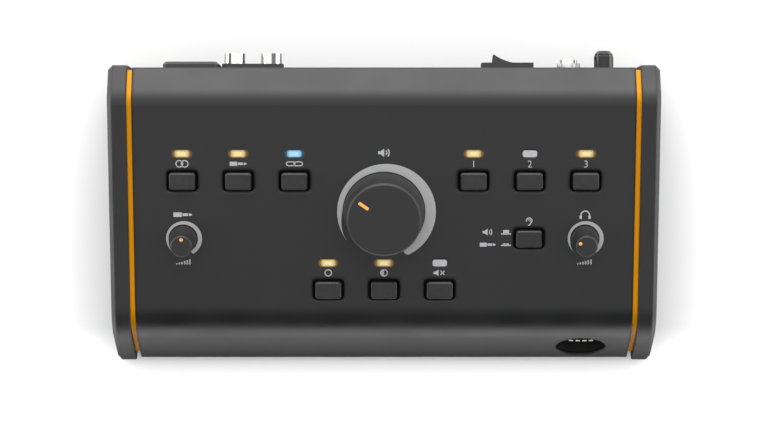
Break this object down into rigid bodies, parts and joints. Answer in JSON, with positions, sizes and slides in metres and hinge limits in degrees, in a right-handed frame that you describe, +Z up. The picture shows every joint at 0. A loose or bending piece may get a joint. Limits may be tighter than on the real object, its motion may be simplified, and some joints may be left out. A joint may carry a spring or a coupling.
{
  "type": "studio monitor controller",
  "caption": "Desktop audio controller with a sloping panel of push buttons and knobs between moulded cheeks, and sockets on the rear",
  "frame": {"origin": "on the table, below the middle of the whole object", "axes": "+X right, along its width; +Y to the rear, where the sockets are; +Z up"},
  "size_m": [0.22, 0.1264, 0.0665],
  "materials": {
    "cover_paint": "satin charcoal powder coat",
    "chassis_steel": "matt black powder coat",
    "cheek_plastic": "matt black moulded plastic",
    "accent_plastic": "satin orange moulded plastic",
    "knob_plastic": "satin charcoal moulded plastic",
    "button_plastic": "satin charcoal moulded plastic",
    "pointer_orange": "orange inlay",
    "lens_warm": "lit warm lens",
    "lens_blue": "lit blue lens",
    "lens_grey": "unlit grey lens",
    "socket_black": "black moulded socket",
    "nickel": "bright nickel",
    "insulator": "white insulator",
    "board_green": "green circuit board",
    "zinc": "zinc plated steel",
    "rubber": "black rubber",
    "led_body": "white component"
  },
  "bodies": {
    "case": {"aerial_stub": "socket_black", "aux_pot": "zinc", "base_screws": "zinc", "board_posts": "zinc", "chassis_tray": "chassis_steel", "cheek_screws": "zinc", "combo_jack": "socket_black", "control_board": "board_green", "dc_inlet": "socket_black", "dc_nut": "nickel", "headphone_cup": "socket_black", "headphone_jack": "socket_black", "indicator_leds": "led_body", "input_jacks": "socket_black", "left_cheek": "cheek_plastic", "left_trim_strip": "accent_plastic", "lit_lenses": "lens_warm", "main_board": "board_green", "main_pot": "zinc", "main_pot_nut": "nickel", "output_1_jacks": "socket_black", "output_2_jacks": "socket_black", "output_3_jacks": "socket_black", "pairing_lens": "lens_blue", "panel_posts": "zinc", "phones_pot": "zinc", "power_switch": "socket_black", "rca_barrels": "nickel", "rca_cores": "insulator", "rca_housing": "socket_black", "rear_panel": "chassis_steel", "right_cheek": "cheek_plastic", "right_trim_strip": "accent_plastic", "rubber_feet": "rubber", "switch_bodies": "socket_black", "top_cover": "cover_paint", "unlit_lenses": "lens_grey"},
    "stereo_button_body": {"stereo_button": "button_plastic"},
    "aux_button_body": {"aux_button": "button_plastic"},
    "pairing_button_body": {"pairing_button": "button_plastic"},
    "output_1_button_body": {"output_1_button": "button_plastic"},
    "output_2_button_body": {"output_2_button": "button_plastic"},
    "output_3_button_body": {"output_3_button": "button_plastic"},
    "mono_button_body": {"mono_button": "button_plastic"},
    "dim_button_body": {"dim_button": "button_plastic"},
    "mute_button_body": {"mute_button": "button_plastic"},
    "listen_button_body": {"listen_button": "button_plastic"},
    "main_knob_body": {"main_knob": "knob_plastic", "main_pointer": "pointer_orange", "main_shaft": "zinc"},
    "aux_knob_body": {"aux_knob": "knob_plastic", "aux_dot": "pointer_orange", "aux_shaft": "zinc"},
    "phones_knob_body": {"phones_knob": "knob_plastic", "phones_dot": "pointer_orange", "phones_shaft": "zinc"},
    "rocker_body": {"power_rocker": "socket_black"}
  },
  "joints": [
    {"name": "stereo_button_push", "type": "slide", "parent": "case", "child": "stereo_button_body", "axis": [0, 0.2419, -0.9703], "range_m": [0, 0.0015], "stiffness_N_per_m": 400, "springref_m": -0.0005},
    {"name": "aux_button_push", "type": "slide", "parent": "case", "child": "aux_button_body", "axis": [0, 0.2419, -0.9703], "range_m": [0, 0.0015], "stiffness_N_per_m": 400, "springref_m": -0.0005},
    {"name": "pairing_button_push", "type": "slide", "parent": "case", "child": "pairing_button_body", "axis": [0, 0.2419, -0.9703], "range_m": [0, 0.0015], "stiffness_N_per_m": 400, "springref_m": -0.0005},
    {"name": "output_1_button_push", "type": "slide", "parent": "case", "child": "output_1_button_body", "axis": [0, 0.2419, -0.9703], "range_m": [0, 0.0015], "stiffness_N_per_m": 400, "springref_m": -0.0005},
    {"name": "output_2_button_push", "type": "slide", "parent": "case", "child": "output_2_button_body", "axis": [0, 0.2419, -0.9703], "range_m": [0, 0.0015], "stiffness_N_per_m": 400, "springref_m": -0.0005},
    {"name": "output_3_button_push", "type": "slide", "parent": "case", "child": "output_3_button_body", "axis": [0, 0.2419, -0.9703], "range_m": [0, 0.0015], "stiffness_N_per_m": 400, "springref_m": -0.0005},
    {"name": "mono_button_push", "type": "slide", "parent": "case", "child": "mono_button_body", "axis": [0, 0.2419, -0.9703], "range_m": [0, 0.0015], "stiffness_N_per_m": 400, "springref_m": -0.0005},
    {"name": "dim_button_push", "type": "slide", "parent": "case", "child": "dim_button_body", "axis": [0, 0.2419, -0.9703], "range_m": [0, 0.0015], "stiffness_N_per_m": 400, "springref_m": -0.0005},
    {"name": "mute_button_push", "type": "slide", "parent": "case", "child": "mute_button_body", "axis": [0, 0.2419, -0.9703], "range_m": [0, 0.0015], "stiffness_N_per_m": 400, "springref_m": -0.0005},
    {"name": "listen_button_push", "type": "slide", "parent": "case", "child": "listen_button_body", "axis": [0, 0.2419, -0.9703], "range_m": [0, 0.0015], "stiffness_N_per_m": 400, "springref_m": -0.0005},
    {"name": "main_turn", "type": "hinge", "parent": "case", "child": "main_knob_body", "pos_m": [0, -0.00225, 0.04998], "axis": [0, -0.2419, 0.9703], "range_deg": [-204.7, 95.3]},
    {"name": "aux_turn", "type": "hinge", "parent": "case", "child": "aux_knob_body", "pos_m": [-0.0805, -0.01292, 0.04732], "axis": [0, -0.2419, 0.9703], "range_deg": [-150, 150]},
    {"name": "phones_turn", "type": "hinge", "parent": "case", "child": "phones_knob_body", "pos_m": [0.0805, -0.01292, 0.04732], "axis": [0, -0.2419, 0.9703], "range_deg": [-213.5, 86.5]},
    {"name": "power_tilt", "type": "hinge", "parent": "case", "child": "rocker_body", "pos_m": [0.05, 0.05505, 0.03], "axis": [0, 0, 1], "range_deg": [0, 30]}
  ]
}
